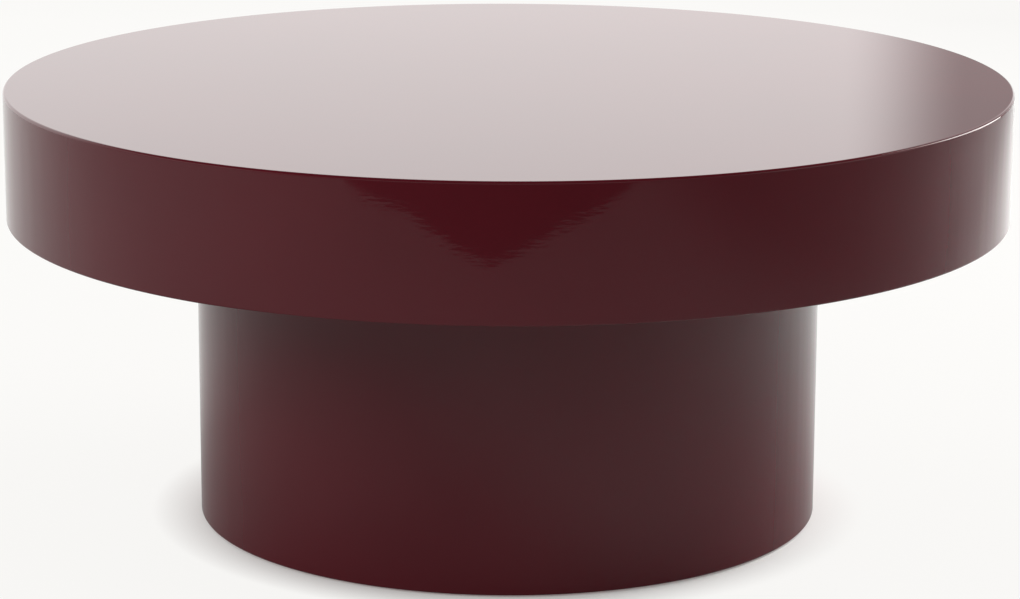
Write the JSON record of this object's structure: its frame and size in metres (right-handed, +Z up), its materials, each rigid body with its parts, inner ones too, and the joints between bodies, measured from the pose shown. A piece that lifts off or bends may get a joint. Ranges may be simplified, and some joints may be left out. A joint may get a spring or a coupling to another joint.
{
  "type": "round cocktail table",
  "caption": "Low round table: a deep drum top with a plain bent apron on a narrower drum base, all in gloss lacquer, standing on hidden screw levellers.",
  "frame": {"origin": "on the floor under the middle of the table", "axes": "+Z up along the axis of the top and base, -Y to the front, +X to the right seen from the front"},
  "size_m": [0.8, 0.8, 0.35],
  "materials": {
    "gloss_lacquer": "gloss",
    "satin_lacquer": "satin",
    "plywood": "matte",
    "fibreboard": "matte",
    "beech": "matte",
    "zinc_steel": "satin",
    "nylon": "matte"
  },
  "bodies": {
    "table": {"top_panel": "gloss_lacquer", "apron_band_front": "gloss_lacquer", "apron_band_rear": "gloss_lacquer", "base_shell": "gloss_lacquer", "underside_panel": "satin_lacquer", "core_rib_front": "plywood", "core_rib_rear": "plywood", "core_rib_left": "plywood", "core_rib_right": "plywood", "apron_splice_left": "plywood", "apron_splice_right": "plywood", "base_top_plate": "plywood", "base_upright_1": "plywood", "base_upright_2": "plywood", "base_upright_3": "plywood", "base_upright_4": "plywood", "base_bottom_ring": "fibreboard", "bolt_block_1": "beech", "bolt_block_2": "beech", "bolt_block_3": "beech", "bolt_block_4": "beech", "underside_screws": "zinc_steel", "insert_nuts": "zinc_steel", "table_bolts": "zinc_steel", "bolt_washers": "zinc_steel", "plate_screws": "zinc_steel", "ring_screws": "zinc_steel", "tee_nuts": "zinc_steel"},
    "pad_1": {"leveller_pad_1": "nylon"},
    "stem_1": {"leveller_stem_1": "zinc_steel"},
    "pad_2": {"leveller_pad_2": "nylon"},
    "stem_2": {"leveller_stem_2": "zinc_steel"},
    "pad_3": {"leveller_pad_3": "nylon"},
    "stem_3": {"leveller_stem_3": "zinc_steel"},
    "pad_4": {"leveller_pad_4": "nylon"},
    "stem_4": {"leveller_stem_4": "zinc_steel"}
  },
  "joints": [
    {"name": "leveller_1_height", "type": "slide", "parent": "table", "child": "pad_1", "axis": [0, 0, -1], "range_m": [0, 0.01]},
    {"name": "leveller_1_turn", "type": "hinge", "parent": "pad_1", "child": "stem_1", "pos_m": [-0.15203, 0.15203, 0.01], "axis": [0, 0, -1], "range_deg": [0, 2881]},
    {"name": "leveller_2_height", "type": "slide", "parent": "table", "child": "pad_2", "axis": [0, 0, -1], "range_m": [0, 0.01]},
    {"name": "leveller_2_turn", "type": "hinge", "parent": "pad_2", "child": "stem_2", "pos_m": [-0.15203, -0.15203, 0.01], "axis": [0, 0, -1], "range_deg": [0, 2881]},
    {"name": "leveller_3_height", "type": "slide", "parent": "table", "child": "pad_3", "axis": [0, 0, -1], "range_m": [0, 0.01]},
    {"name": "leveller_3_turn", "type": "hinge", "parent": "pad_3", "child": "stem_3", "pos_m": [0.15203, -0.15203, 0.01], "axis": [0, 0, -1], "range_deg": [0, 2881]},
    {"name": "leveller_4_height", "type": "slide", "parent": "table", "child": "pad_4", "axis": [0, 0, -1], "range_m": [0, 0.01]},
    {"name": "leveller_4_turn", "type": "hinge", "parent": "pad_4", "child": "stem_4", "pos_m": [0.15203, 0.15203, 0.01], "axis": [0, 0, -1], "range_deg": [0, 2881]}
  ],
  "couplings": [
    {"joint": "leveller_1_turn", "follows": "leveller_1_height", "rad_per_m": 5026.5},
    {"joint": "leveller_2_turn", "follows": "leveller_2_height", "rad_per_m": 5026.5},
    {"joint": "leveller_3_turn", "follows": "leveller_3_height", "rad_per_m": 5026.5},
    {"joint": "leveller_4_turn", "follows": "leveller_4_height", "rad_per_m": 5026.5}
  ]
}
